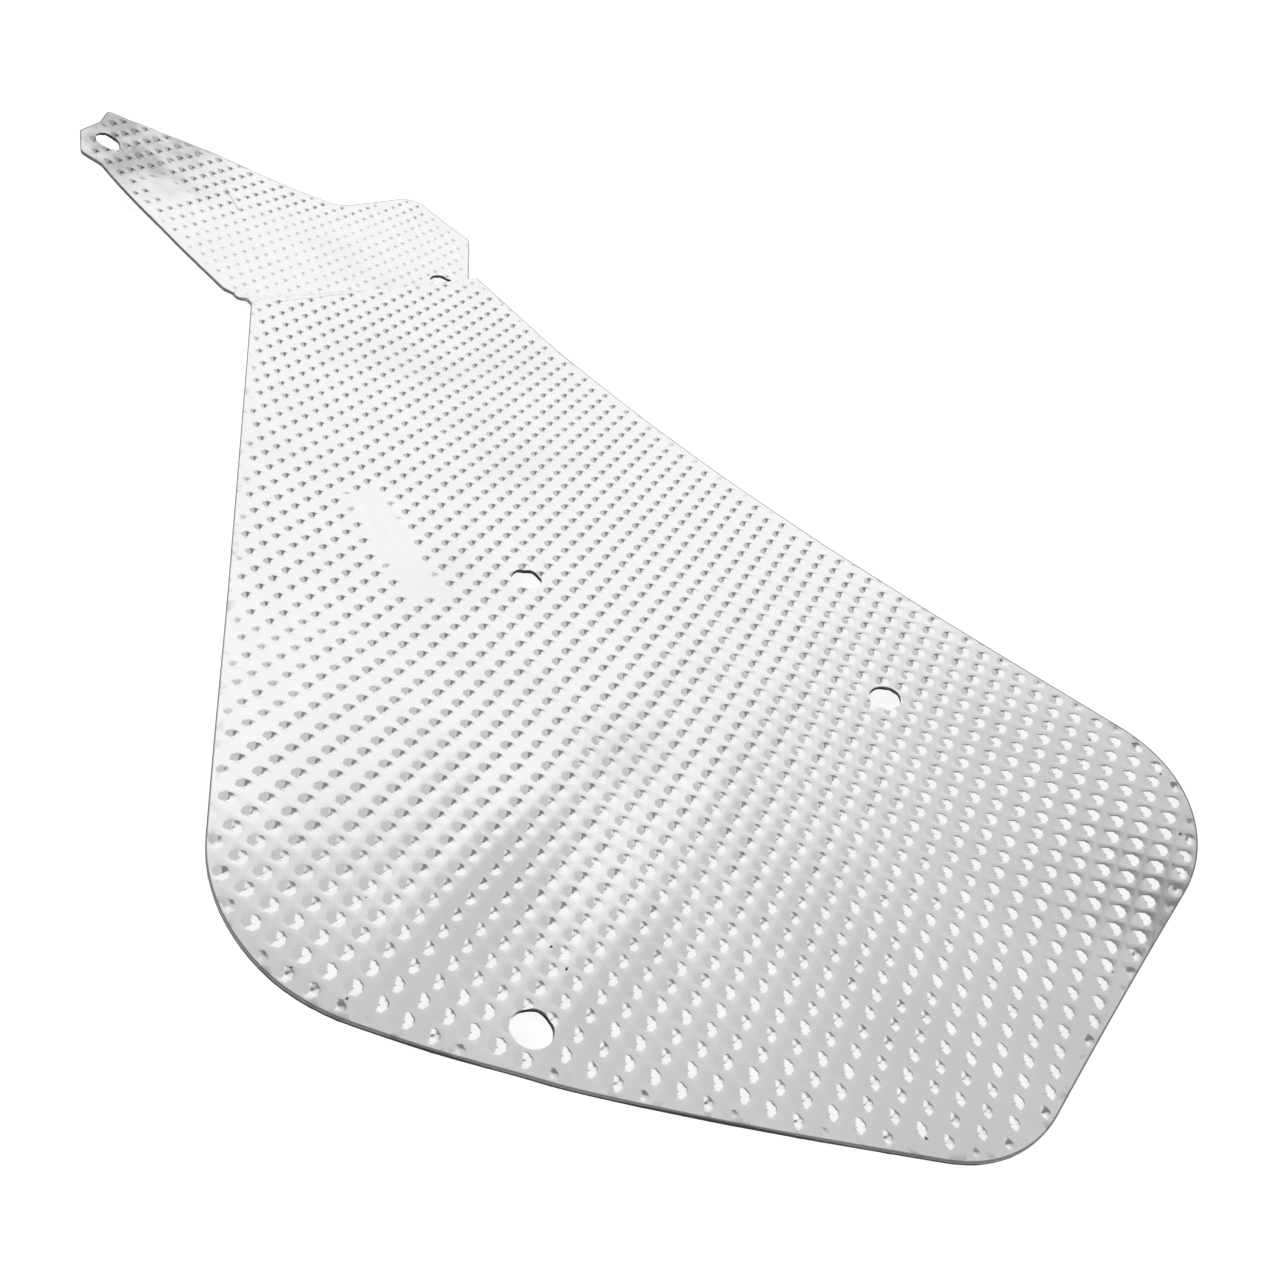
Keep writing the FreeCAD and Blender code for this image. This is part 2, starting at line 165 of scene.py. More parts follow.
@dataclass(frozen=True)
class PressedForm:
    """The pressed shape of the sheet, as heights over the plan.

    Attributes:
        offset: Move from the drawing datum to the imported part's frame.
        thickness: Thickness of the sheet.
    """

    offset: Triple = (-0.078, 0.285, 1.296)
    thickness: float = 1.0
    bow_radius: float = 3850.0
    bow_low_x: float = -63.5
    twist_per_mm: float = 0.00023
    right_bend_y: float = -43.0
    right_bend_arc: float = 74.5
    right_angle_nose: float = 15.6
    right_angle_neck: float = 5.3
    right_fade_x: Span = (-203.0, 62.0)
    left_bend_y: float = 33.7
    left_bend_arc: float = 36.8
    left_angle_shoulder: float = 10.9
    left_angle_neck: float = 4.1
    left_rise_x: Span = (-235.0, -96.0)
    left_fade_x: Span = (-91.0, -27.0)
    neck_rise_x: float = 71.0
    neck_rise_angle: float = 2.5
    neck_rise_arc: float = 20.0
    neck_rise_end_x: float = 113.0
    joggle_x: float = 105.8
    joggle_slant: float = 11.0
    joggle_widths: Span = (8.0, 17.0)
    joggle_sides_y: Span = (-58.0, 30.0)
    joggle_drop: float = 6.7
    curl_x: float = 199.3
    curl_slant: float = 25.3
    curl_angle: float = 16.9
    curl_arc: float = 70.0

    @staticmethod
    def slope(degrees: float) -> float:
        """Rise over run of an angle in degrees."""
        return math.tan(math.radians(degrees))

    @staticmethod
    def past_line(x: Array, y: Array, line_x: float, slant: float) -> Array:
        """Distance past a slanted line that crosses y = 0 at line_x."""
        angle = math.radians(slant)
        return (x - line_x) * math.cos(angle) + y * math.sin(angle)

    def right_flank(self, x: Array, y: Array) -> Array:
        """Rise of the right flank, most at the nose."""
        fade = ease(x, *self.right_fade_x)
        steep = self.slope(self.right_angle_nose) * (1 - fade) + self.slope(self.right_angle_neck) * fade
        return steep * bend(self.right_bend_y - y, self.right_bend_arc)

    def left_flank(self, x: Array, y: Array) -> Array:
        """Rise of the left flank, steepest at the shoulder."""
        rise = ease(x, *self.left_rise_x)
        fade = ease(x, *self.left_fade_x)
        shoulder = self.slope(self.left_angle_shoulder) * rise * (1 - fade)
        steep = shoulder + self.slope(self.left_angle_neck) * fade
        return steep * bend(y - self.left_bend_y, self.left_bend_arc)

    def joggle_width(self, y: Array) -> Array:
        """Width of the joggle, narrowing from the left edge of the neck to the right one."""
        return np.interp(y, self.joggle_sides_y, self.joggle_widths)

    def neck_and_tab(self, x: Array, y: Array) -> Array:
        """Rise of the neck, the joggle down to the tab and the curl of the tab."""
        reach = np.minimum(x, self.neck_rise_end_x) - self.neck_rise_x
        rise = self.slope(self.neck_rise_angle) * bend(reach, self.neck_rise_arc)
        joggle = self.past_line(x, y, self.joggle_x, self.joggle_slant)
        drop = self.joggle_drop * ease(joggle / self.joggle_width(y), 0.0, 1.0)
        curl = self.past_line(x, y, self.curl_x, self.curl_slant)
        return rise - drop + self.slope(self.curl_angle) * bend(curl, self.curl_arc)

    def height(self, x: Array, y: Array) -> Array:
        """Height of the sheet's upper face.

        Args:
            x: Places along the sheet, on the drawing datum.
            y: Places across the sheet.
        Returns:
            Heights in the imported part's frame.
        """
        along = x - self.bow_low_x
        floor = along ** 2 / (2 * self.bow_radius) + self.twist_per_mm * along * y
        form = floor + self.right_flank(x, y) + self.left_flank(x, y) + self.neck_and_tab(x, y)
        return form + self.thickness + self.offset[2]

    def normals(self, x: Array, y: Array) -> Array:
        """Unit normals of the upper face, pointing up.

        Args:
            x: Places along the sheet.
            y: Places across the sheet.
        Returns:
            An array of shape (n, 3).
        """
        step = 0.5
        along = (self.height(x + step, y) - self.height(x - step, y)) / (2 * step)
        across = (self.height(x, y + step) - self.height(x, y - step)) / (2 * step)
        normal = np.stack([-along, -across, np.ones_like(along)], axis=1)
        return normal / np.linalg.norm(normal, axis=1, keepdims=True)


@dataclass(frozen=True)
class Outline:
    """The cut edge of the sheet in plan: straight stretches with a tangent arc at each corner."""

    corners: tuple[Corner, ...] = (
        Corner(-223.4, -7.0, 28.0),
        Corner(-184.7, -111.1, 38.0),
        Corner(121.2, -57.6, 20.0),
        Corner(159.3, -75.2, 6.0),
        Corner(196.3, -66.3, 7.0),
        Corner(186.0, -31.4, 10.0),
        Corner(209.7, 6.8, 80.0),
        Corner(220.6, 45.2, 2.5),
        Corner(213.2, 49.5, 3.0),
        Corner(204.4, 58.2, 2.0),
        Corner(193.5, 60.4, 2.0),
        Corner(189.2, 54.7, 3.0),
        Corner(157.4, 42.6, 120.0),
        Corner(119.9, 32.7, 1.5),
        Corner(117.6, 30.4, 1.5),
        Corner(99.5, 30.2, 3.0),
        Corner(-136.0, 112.4, 37.0),
        Corner(-174.6, 62.1, 30.0),
    )
    arc_step_degrees: float = 4.0
    shortest: float = 1e-6

    def rounded(self, index: int) -> list[tuple[float, float]]:
        """Points along the arc of one corner.

        Args:
            index: Which corner.
        Returns:
            Points in plan, in the order of the outline.
        """
        corner = self.corners[index]
        point = np.array([corner.x, corner.y])
        before = self.corners[index - 1]
        after = self.corners[(index + 1) % len(self.corners)]
        back = np.array([before.x, before.y]) - point
        forth = np.array([after.x, after.y]) - point
        back = back / np.linalg.norm(back)
        forth = forth / np.linalg.norm(forth)
        half = math.acos(float(np.clip(back @ forth, -1.0, 1.0))) / 2
        middle = (back + forth) / np.linalg.norm(back + forth)
        centre = point + middle * (corner.radius / math.sin(half))
        start = point + back * (corner.radius / math.tan(half)) - centre
        turn = math.pi - 2 * half
        side = math.copysign(1.0, back[1] * forth[0] - back[0] * forth[1])
        steps = max(2, math.ceil(math.degrees(turn) / self.arc_step_degrees))
        first = math.atan2(start[1], start[0])
        angles = [first + side * turn * k / steps for k in range(steps + 1)]
        return [(float(centre[0] + corner.radius * math.cos(a)),
                 float(centre[1] + corner.radius * math.sin(a))) for a in angles]

    def points(self) -> Array:
        """All points of the outline, counter-clockwise, shape (n, 2)."""
        return np.array([p for index in range(len(self.corners)) for p in self.rounded(index)])

    def inset(self, x: Array, y: Array) -> Array:
        """Distance in from the cut edge.

        Args:
            x: Places along the sheet.
            y: Places across the sheet.
        Returns:
            Distances, negative outside the outline.
        """
        loop = self.points()
        nearest = np.full(x.shape, np.inf)
        inside = np.zeros(x.shape, bool)
        for (ax, ay), (bx, by) in zip(loop, np.roll(loop, -1, axis=0)):
            dx, dy = bx - ax, by - ay
            length = dx * dx + dy * dy
            if length < self.shortest ** 2:
                continue
            t = np.clip(((x - ax) * dx + (y - ay) * dy) / length, 0.0, 1.0)
            nearest = np.minimum(nearest, np.hypot(x - ax - t * dx, y - ay - t * dy))
            if dy:
                crosses = ((ay > y) != (by > y)) & (x < ax + (y - ay) * dx / dy)
                inside ^= crosses
        return np.where(inside, nearest, -nearest)


@dataclass(frozen=True)
class PitProfile:
    """Section of one embossed cell, from the middle of the pit to the border of the cell.

    Attributes:
        bottom: Height of the middle of the pit.
        rings: Radius and height of each ring round the middle.
        side: Height of the border halfway between two pits.
        crown: Height of the corner between four pits.
    """

    bottom: float
    rings: tuple[tuple[float, float], ...]
    side: float
    crown: float


@dataclass(frozen=True)
class Lattice:
    """The embossing: one round pit in each cell of a slightly skewed lattice.

    Attributes:
        pit_pitch: Step from pit to pit along a row.
        row_pitch: Step from row to row along a column.
        row_direction: Turn of the rows from the X axis, in degrees.
        column_direction: Turn of the columns, in degrees.
        first_pit: Middle of one pit.
        upper: Section of a cell on the upper face.
        lower: Section of a cell on the underside, where the pits stand out as bumps.
    """

    pit_pitch: float = 5.14
    row_pitch: float = 4.845
    row_direction: float = 37.0
    column_direction: float = 123.23
    first_pit: Place = Place(-186.62, -8.33)
    upper: PitProfile = PitProfile(
        -0.70, ((0.32, -0.61), (1.0, -0.32), (1.56, -0.08), (1.88, -0.008)), 0.0, 0.01)
    lower: PitProfile = PitProfile(-0.60, (), 0.0, 0.0)
    spare_cells: int = 3
    merge_distance: float = 0.02

    @property
    def row(self) -> Array:
        """Step from pit to pit, in plan."""
        turn = math.radians(self.row_direction)
        return self.pit_pitch * np.array([math.cos(turn), math.sin(turn)])

    @property
    def column(self) -> Array:
        """Step from row to row, in plan."""
        turn = math.radians(self.column_direction)
        return self.row_pitch * np.array([math.cos(turn), math.sin(turn)])

    def steps(self, x: Array, y: Array) -> Array:
        """Places in steps of the lattice from the first pit.

        Args:
            x: Places along the sheet.
            y: Places across the sheet.
        Returns:
            Steps along the rows and the columns, shape (2, n).
        """
        basis = np.array([self.row, self.column]).T
        return np.linalg.solve(basis, np.array([x - self.first_pit.x, y - self.first_pit.y]))

    def middles(self, x: Array, y: Array) -> tuple[Array, Array]:
        """Middle of the cell that each place lies in."""
        cells = np.rint(self.steps(x, y))
        return (self.first_pit.x + cells[0] * self.row[0] + cells[1] * self.column[0],
                self.first_pit.y + cells[0] * self.row[1] + cells[1] * self.column[1])

    def border(self, turn: int) -> Array:
        """Point of the cell's border at one of eight turns, from the middle of the cell."""
        along = (1, 1, 0, -1, -1, -1, 0, 1)[turn % SIDES]
        across = (0, 1, 1, 1, 0, -1, -1, -1)[turn % SIDES]
        return (along * self.row + across * self.column) / 2

    def cell(self, profile: PitProfile) -> Piece:
        """Model one cell at the drawing datum: a fan for the pit, rings for its wall and a border.

        Args:
            profile: Section of the cell.
        Returns:
            The cell, as a mesh object.
        """
        clear_selection()
        radii = [radius for radius, _ in profile.rings] + [float(np.linalg.norm(self.border(0)))]
        bpy.ops.mesh.primitive_circle_add(vertices=SIDES, radius=radii[0] * MM, fill_type="TRIFAN")
        cell = bpy.context.object
        with edit_mode():
            for inner, outer in zip(radii, radii[1:]):
                bpy.ops.mesh.select_all(action="SELECT")
                bpy.ops.mesh.region_to_loop()
                bpy.ops.mesh.extrude_edges_move()
                scale = outer / inner
                bpy.ops.transform.resize(value=(scale, scale, 1.0), center_override=(0.0, 0.0, 0.0))
        points = read_points(cell) / MM
        for point in points:
            reach = math.hypot(point[0], point[1])
            if reach < self.merge_distance:
                point[2] = profile.bottom
                continue
            turn = round(math.atan2(point[1], point[0]) / (2 * math.pi / SIDES)) % SIDES
            way = self.border(turn)
            ring = min(range(len(radii)), key=lambda k: abs(radii[k] - reach))
            if ring < len(profile.rings):
                point[:2] = way / np.linalg.norm(way) * radii[ring]
                point[2] = profile.rings[ring][1]
            else:
                point[:2] = way
                point[2] = profile.crown if turn % 2 else profile.side
        write_points(cell, points * MM)
        return cell

    def field(self, profile: PitProfile, loop: Array) -> Piece:
        """Lay copies of a cell out over a loop.

        Args:
            profile: Section of the cell.
            loop: Points in plan that the field has to cover.
        Returns:
            The flat field, with the heights of the pits.
        """
        piece = self.cell(profile)
        steps = self.steps(loop[:, 0], loop[:, 1])
        first = np.floor(steps.min(axis=1)) - self.spare_cells
        counts = np.ceil(steps.max(axis=1)) + self.spare_cells - first
        for name, step, count in (("row", self.row, counts[0]), ("column", self.column, counts[1])):
            array = piece.modifiers.new(name, "ARRAY")
            array.use_relative_offset = False
            array.use_constant_offset = True
            array.constant_offset_displace = (step[0] * MM, step[1] * MM, 0.0)
            array.count = int(count)
            array.use_merge_vertices = True
            array.merge_threshold = self.merge_distance * MM
            apply_modifier(piece, name)
        points = read_points(piece)
        points[:, 0] += (self.first_pit.x + first[0] * self.row[0] + first[1] * self.column[0]) * MM
        points[:, 1] += (self.first_pit.y + first[0] * self.row[1] + first[1] * self.column[1]) * MM
        write_points(piece, points)
        return piece


@dataclass(frozen=True)
class BarePad:
    """A place pressed flat: an oblong with soft sides.

    Attributes:
        centre: Middle of the pad in plan.
        half_length: Half of its length.
        half_width: Half of its width.
        turn_degrees: Turn of its length from the X axis.
        soft_side: Where the pits start and end to come back, out from the side of the pad.
    """

    centre: Place
    half_length: float
    half_width: float
    turn_degrees: float
    soft_side: Span = (-0.5, 2.0)

    def keep(self, x: Array, y: Array) -> Array:
        """How much of the embossing is left: 0 on the pad, 1 away from it."""
        turn = math.radians(self.turn_degrees)
        along = (x - self.centre.x) * math.cos(turn) + (y - self.centre.y) * math.sin(turn)
        across = (y - self.centre.y) * math.cos(turn) - (x - self.centre.x) * math.sin(turn)
        outside = np.maximum(np.abs(along) - self.half_length, np.abs(across) - self.half_width)
        return ease(outside, *self.soft_side)


@dataclass(frozen=True)
class Unevenness:
    """What handling did to the thin sheet: slight waves, a hollow across the nose and a crumpled tip.

    Attributes:
        wave_lengths: Lengths of the waves along and across the sheet, over two pi. The lengths of sways,
            creases and cross creases are given in the same way.
        sways: How far the waves sway, in radians.
        tip_x: Where the slanted line that the tip begins at crosses y = 0.
        hollow_place: Distance of the hollow from the drawing datum.
    """

    wave_height: float = 0.045
    wave_lengths: Span = (8.3, 7.1)
    sway_lengths: Span = (11.0, 13.0)
    sways: Span = (0.6, 0.8)
    wave_start: float = 1.3
    tip_x: float = 199.3
    tip_slant: float = 25.3
    crumple_height: float = 0.20
    crumple_reach: float = 12.0
    crease_lengths: Span = (3.1, 4.6)
    cross_lengths: Span = (-6.5, 3.4)
    droop_angle: float = 7.0
    droop_start: float = 30.0
    droop_arc: float = 12.0
    hollow_direction: float = 123.23
    hollow_place: float = -90.0
    hollow_period: float = 40.0
    hollow_depth: float = 0.25
    hollow_reach: Span = (12.0, 30.0)
    hollow_fade_x: Span = (-110.0, -50.0)

    def waves(self, x: Array, y: Array) -> Array:
        """Height of the waves over the whole sheet."""
        along = x / self.wave_lengths[0] + self.sways[0] * np.sin(y / self.sway_lengths[0])
        sway = self.sways[1] * np.sin(x / self.sway_lengths[1])
        across = y / self.wave_lengths[1] + self.wave_start + sway
        return self.wave_height * np.sin(along) * np.sin(across)

    def tip(self, x: Array, y: Array) -> Array:
        """Height of the creases of the tip, less its droop."""
        past = PressedForm.past_line(x, y, self.tip_x, self.tip_slant)
        droop = PressedForm.slope(self.droop_angle) * bend(past - self.droop_start, self.droop_arc)
        creases = np.sin(x / self.crease_lengths[0] + y / self.crease_lengths[1])
        crossing = np.sin(x / self.cross_lengths[0] + y / self.cross_lengths[1])
        return self.crumple_height * creases * crossing * ease(past, 0.0, self.crumple_reach) - droop

    def hollow(self, x: Array, y: Array) -> Array:
        """Depth of the hollow, which runs along the columns of pits."""
        turn = math.radians(self.hollow_direction)
        off = x * math.sin(turn) - y * math.cos(turn) - self.hollow_place
        share = (1.0 - ease(np.abs(off), *self.hollow_reach)) * (1.0 - ease(x, *self.hollow_fade_x))
        return self.hollow_depth * np.cos(2.0 * math.pi * off / self.hollow_period) * share

    def height(self, x: Array, y: Array) -> Array:
        """Height to add to the pressed form.

        Args:
            x: Places along the sheet.
            y: Places across the sheet.
        Returns:
            Heights, negative in a hollow.
        """
        return self.waves(x, y) + self.tip(x, y) - self.hollow(x, y)


@dataclass
class Sheet:
    """The whole sheet: its form, outline, embossing, holes and bare places.

    Attributes:
        trim_spare: How far past the outline the field reaches before it is trimmed.
        edge_fade: Where the pits start and reach their full depth, in from the cut edge.
        scatter_mix: Factors that mix the number of a pit into a share.
        shallow_share: How much shallower the pits are past the neck.
        underside_share: Points deeper than this share of the thickness belong to the underside.
    """

    form: PressedForm = field(default_factory=PressedForm)
    outline: Outline = field(default_factory=Outline)
    lattice: Lattice = field(default_factory=Lattice)
    uneven: Unevenness = field(default_factory=Unevenness)
    hole_diameter: float = 8.2
    holes: tuple[Place, ...] = (
        Place(-43.5, 1.7),
        Place(-116.6, -63.8),
        Place(-163.1, 62.0),
        Place(128.8, -49.8),
        Place(203.0, 49.4),
    )
    pads: tuple[BarePad, ...] = (
        BarePad(Place(-23.0, 30.6), 22.0, 4.5, 0.0),
        BarePad(Place(182.5, 34.2), 6.0, 5.0, 35.0),
    )
    trim_spare: float = 6.0
    edge_fade: Span = (0.3, 3.5)
    crisp_angle: float = 45.0
    depth_scatter: float = 0.12
    scatter_mix: Triple = (12.9898, 78.233, 43758.5453)
    shallow_share: float = 0.26
    shallow_from_x: Span = (95.0, 125.0)
    shallow_to_x: Span = (165.0, 195.0)
    underside_share: float = 0.85
    weld_distance: float = 0.01
    cutter_foot: float = -30.0
    cutter_height: float = 90.0
    punch_length: float = 12.0
    punch_sides: int = 48

    def keep(self, x: Array, y: Array) -> Array:
        """How much of the embossing is left at each place.

        Args:
            x: Places along the sheet.
            y: Places across the sheet.
        Returns:
            Factors from 0, pressed flat, to 1, full depth.
        """
        left = ease(self.outline.inset(x, y), *self.edge_fade)
        for pad in self.pads:
            left = left * pad.keep(x, y)
        return left

    def depth_share(self, x: Array, y: Array) -> Array:
        """How deep each pit came out: a little more or less than its neighbours, shallower past the neck."""
        cells = np.rint(self.lattice.steps(x, y))
        along, across, spread = self.scatter_mix
        mixed = np.sin(cells[0] * along + cells[1] * across) * spread
        scatter = 1.0 + self.depth_scatter * (2.0 * (mixed - np.floor(mixed)) - 1.0)
        past_neck = ease(x, *self.shallow_from_x) * (1.0 - ease(x, *self.shallow_to_x))
        return scatter * (1.0 - self.shallow_share * past_neck)

    def surface(self, x: Array, y: Array) -> Array:
        """Height of the upper face between the pits."""
        return self.form.height(x, y) + self.uneven.height(x, y)

    def drop_spare_cells(self, piece: Piece) -> None:
        """Delete the cells of the field that lie well outside the outline."""
        make_active(piece)
        centres = np.empty(len(piece.data.polygons) * 3)
        piece.data.polygons.foreach_get("center", centres)
        centres = centres.reshape(-1, 3) / MM
        middles = self.lattice.middles(centres[:, 0], centres[:, 1])
        spare = self.outline.inset(*middles) < -self.trim_spare
        with edit_mode():
            bpy.ops.mesh.select_mode(type="FACE")
            bpy.ops.mesh.select_all(action="DESELECT")
        piece.data.polygons.foreach_set("select", spare)
        with edit_mode():
            bpy.ops.mesh.delete(type="FACE")

    def flat_blank(self) -> Piece:
        """The embossed blank before it is pressed: an upper field, a lower field and an edge between.

        Returns:
            A closed mesh whose upper face lies at height 0.
        """
        loop = self.outline.points()
        lower = self.lattice.field(self.lattice.lower, loop)
        self.drop_spare_cells(lower)
        points = read_points(lower)
        points[:, 2] -= self.form.thickness * MM
        write_points(lower, points)
        upper = self.lattice.field(self.lattice.upper, loop)
        self.drop_spare_cells(upper)
        down = (0.0, 0.0, -self.form.thickness * MM)
        with edit_mode():
            bpy.ops.mesh.select_mode(type="EDGE")
            bpy.ops.mesh.select_all(action="SELECT")
            bpy.ops.mesh.region_to_loop()
            bpy.ops.mesh.extrude_edges_move(TRANSFORM_OT_translate={"value": down})
        blank = join([upper, lower])
        with edit_mode():
            bpy.ops.mesh.select_all(action="SELECT")
            bpy.ops.mesh.remove_doubles(threshold=self.weld_distance * MM)
            bpy.ops.mesh.normals_make_consistent(inside=False)
        return blank

    def press(self, piece: Piece) -> None:
        """Bend the flat blank to the pressed form, with the pits square to the sheet."""
        points = read_points(piece) / MM
        x, y = points[:, 0], points[:, 1]
        underside = points[:, 2] < -self.underside_share * self.form.thickness
        base = np.where(underside, -self.form.thickness, 0.0)
        depth = base + (points[:, 2] - base) * self.keep(x, y) * self.depth_share(x, y)
        surface = np.stack([x, y, self.surface(x, y)], axis=1)
        surface += self.form.normals(x, y) * depth[:, None]
        surface[:, 0] += self.form.offset[0]
        surface[:, 1] += self.form.offset[1]
        write_points(piece, surface * MM)

    def outline_cutter(self) -> Piece:
        """A tall prism of the outline.

        Returns:
            The cutter, as a mesh object.
        """
        loop = self.outline.points() + np.array(self.form.offset[:2])
        mesh = bpy.data.meshes.new("outline_cutter")
        low = self.cutter_foot * MM
        mesh.from_pydata([(x * MM, y * MM, low) for x, y in loop], [], [list(range(len(loop)))])
        cutter = bpy.data.objects.new("outline_cutter", mesh)
        bpy.context.scene.collection.objects.link(cutter)
        make_active(cutter)
        up = (0.0, 0.0, self.cutter_height * MM)
        with edit_mode():
            bpy.ops.mesh.select_all(action="SELECT")
            bpy.ops.mesh.extrude_region_move(TRANSFORM_OT_translate={"value": up})
            bpy.ops.mesh.select_all(action="SELECT")
            bpy.ops.mesh.normals_make_consistent(inside=False)
        return cutter

    def punches(self) -> Piece:
        """The five punches, square to the sheet where they stand, as one mesh.

        Returns:
            The cutter, as a mesh object.
        """
        made = []
        for place in self.holes:
            x, y = np.array([place.x]), np.array([place.y])
            axis = Vector(self.form.normals(x, y)[0])
            centre = (place.x + self.form.offset[0], place.y + self.form.offset[1],
                      float(self.form.height(x, y)[0]) - self.form.thickness / 2)
            clear_selection()
            bpy.ops.mesh.primitive_cylinder_add(
                vertices=self.punch_sides, radius=self.hole_diameter / 2 * MM,
                depth=self.punch_length * MM,
                location=tuple(c * MM for c in centre),
                rotation=axis.to_track_quat("Z", "Y").to_euler())
            made.append(bpy.context.object)
        punches = join(made)
        bpy.ops.object.transform_apply(location=True, rotation=True, scale=True)
        return punches

    def cut(self, piece: Piece, cutter: Piece, trim: Trim) -> None:
        """Cut the piece with a cutter, then remove the cutter."""
        boolean = piece.modifiers.new(trim.name, "BOOLEAN")
        boolean.operation = trim.value
        boolean.object = cutter
        boolean.solver = "EXACT"
        boolean.material_mode = "TRANSFER"
        apply_modifier(piece, trim.name)
        bpy.data.objects.remove(cutter)

    def store_measures(self, piece: Piece) -> None:
        """Store on the vertices how far in from the cut edge they lie, and how far through the sheet."""
        points = read_points(piece) / MM
        x, y = points[:, 0] - self.form.offset[0], points[:, 1] - self.form.offset[1]
        below = (self.surface(x, y) - points[:, 2]) * self.form.normals(x, y)[:, 2]
        rim = np.maximum(self.outline.inset(x, y), 0.0)
        for name, values in (("rim", rim), ("through", below / self.form.thickness)):
            measure = piece.data.attributes.new(name, "FLOAT", "POINT")
            measure.data.foreach_set("value", values)

    def build(self, face: Material, edge: Material, wall: Material) -> Piece:
        """Model the sheet.

        Args:
            face: Finish of the two faces.
            edge: Finish of the cut edge, dark with painted shade.
            wall: Finish of the walls of the holes, dark with painted shade.
        Returns:
            The finished piece, at the origin.
        """
        piece = self.flat_blank()
        piece.name = "embossed_sheet"
        piece.data.name = "embossed_sheet"
        piece.data.materials.append(face)
        self.press(piece)
        for cutter, trim, finish in ((self.outline_cutter(), Trim.KEEP_INSIDE, edge),
                                     (self.punches(), Trim.PIERCE, wall)):
            cutter.data.materials.append(finish)
            self.cut(piece, cutter, trim)
        self.store_measures(piece)
        make_active(piece)
        bpy.ops.object.shade_smooth_by_angle(angle=math.radians(self.crisp_angle))
        weighted = piece.modifiers.new("flat_faces_first", "WEIGHTED_NORMAL")
        weighted.mode = "FACE_AREA"
        weighted.keep_sharp = True
        apply_modifier(piece, "flat_faces_first")
        return piece


@dataclass
class Bench:
    """Shorthand for placing and joining shader nodes in one tree."""

    tree: bpy.types.NodeTree

    def add(self, kind: str, **options: object) -> bpy.types.Node:
        """Place a node and set its options."""
        node = self.tree.nodes.new(kind)
        for name, value in options.items():
            setattr(node, name, value)
        return node

    def feed(self, socket: Socket, value: object) -> None:
        """Join a socket to another one, or set its value."""
        if isinstance(value, bpy.types.NodeSocket):
            self.tree.links.new(value, socket)
        else:
            socket.default_value = value

    def sum(self, operation: str, a: object, b: object = 0.0) -> Socket:
        """Arithmetic on two values."""
        node = self.add("ShaderNodeMath", operation=operation)
        self.feed(node.inputs[0], a)
        self.feed(node.inputs[1], b)
        return node.outputs["Value"]

    def times(self, a: object, b: object) -> Socket:
        """Product of two values."""
        return self.sum("MULTIPLY", a, b)

    def most(self, a: object, b: object) -> Socket:
        """Greater of two values."""
        return self.sum("MAXIMUM", a, b)

    def change(self, value: object, start: float, end: float,
               first: float = 0.0, last: float = 1.0) -> Socket:
        """Smooth change from a first level to a last one as a value goes from start to end."""
        node = self.add("ShaderNodeMapRange", interpolation_type="SMOOTHSTEP")
        for name, level in (("Value", value), ("From Min", start), ("From Max", end),
                            ("To Min", first), ("To Max", last)):
            self.feed(node.inputs[name], level)
        return node.outputs["Result"]

    def place(self) -> Socket:
        """Place on the piece, in metres."""
        return self.add("ShaderNodeTexCoord").outputs["Object"]

    def vector(self, operation: str, a: object, b: object) -> bpy.types.Node:
        """Arithmetic on two vectors."""
        node = self.add("ShaderNodeVectorMath", operation=operation)
        self.feed(node.inputs[0], a)
        self.feed(node.inputs[1], b)
        return node

    def plan(self) -> Socket:
        """Place on the piece in plan, in metres."""
        return self.vector("MULTIPLY", self.place(), (1.0, 1.0, 0.0)).outputs["Vector"]

    def distance(self, a: Socket, b: object) -> Socket:
        """Distance between two places."""
        return self.vector("DISTANCE", a, b).outputs["Value"]

    def along(self, place: Socket, way: object) -> Socket:
        """Share of a place or direction along a way."""
        return self.vector("DOT_PRODUCT", place, way).outputs["Value"]

    def measure(self, name: str) -> Socket:
        """A measure stored on the vertices of the piece."""
        return self.add("ShaderNodeAttribute", attribute_name=name).outputs["Fac"]

    def noise(self, scale: object, detail: float, stretch: Triple = (1.0, 1.0, 1.0)) -> Socket:
        """Noise over the piece.

        Args:
            scale: Lumps in a metre.
            detail: Finer layers.
            stretch: Scale along each axis.
        Returns:
            Values about 0.5.
        """
        mapping = self.add("ShaderNodeMapping")
        self.feed(mapping.inputs["Vector"], self.place())
        mapping.inputs["Scale"].default_value = stretch
        node = self.add("ShaderNodeTexNoise")
        self.feed(node.inputs["Vector"], mapping.outputs["Vector"])
        self.feed(node.inputs["Scale"], scale)
        node.inputs["Detail"].default_value = detail
        return node.outputs[0]

    def blend(self, share: object, a: object, b: object) -> Socket:
        """Blend of two values."""
        node = self.add("ShaderNodeMix", data_type="FLOAT")
        for socket, value in ((node.inputs[0], share), (node.inputs[2], a), (node.inputs[3], b)):
            self.feed(socket, value)
        return node.outputs[0]

    def tint(self, share: object, a: object, b: object) -> Socket:
        """Blend of two colours."""
        node = self.add("ShaderNodeMix", data_type="RGBA")
        for socket, value in ((node.inputs[0], share), (node.inputs[6], a), (node.inputs[7], b)):
            self.feed(socket, value)
        return node.outputs[2]

    def bump(self, height: Socket, strength: float, distance: float) -> Socket:
        """Normal of a fine relief."""
        node = self.add("ShaderNodeBump")
        node.inputs["Strength"].default_value = strength
        node.inputs["Distance"].default_value = distance
        self.feed(node.inputs["Height"], height)
        return node.outputs["Normal"]

    def effect(self, group: bpy.types.NodeTree, **inputs: float) -> bpy.types.Node:
        """Place an effect with its own values."""
        node = self.add("ShaderNodeGroup", node_tree=group)
        for name, value in inputs.items():
            node.inputs[name].default_value = value
        return node


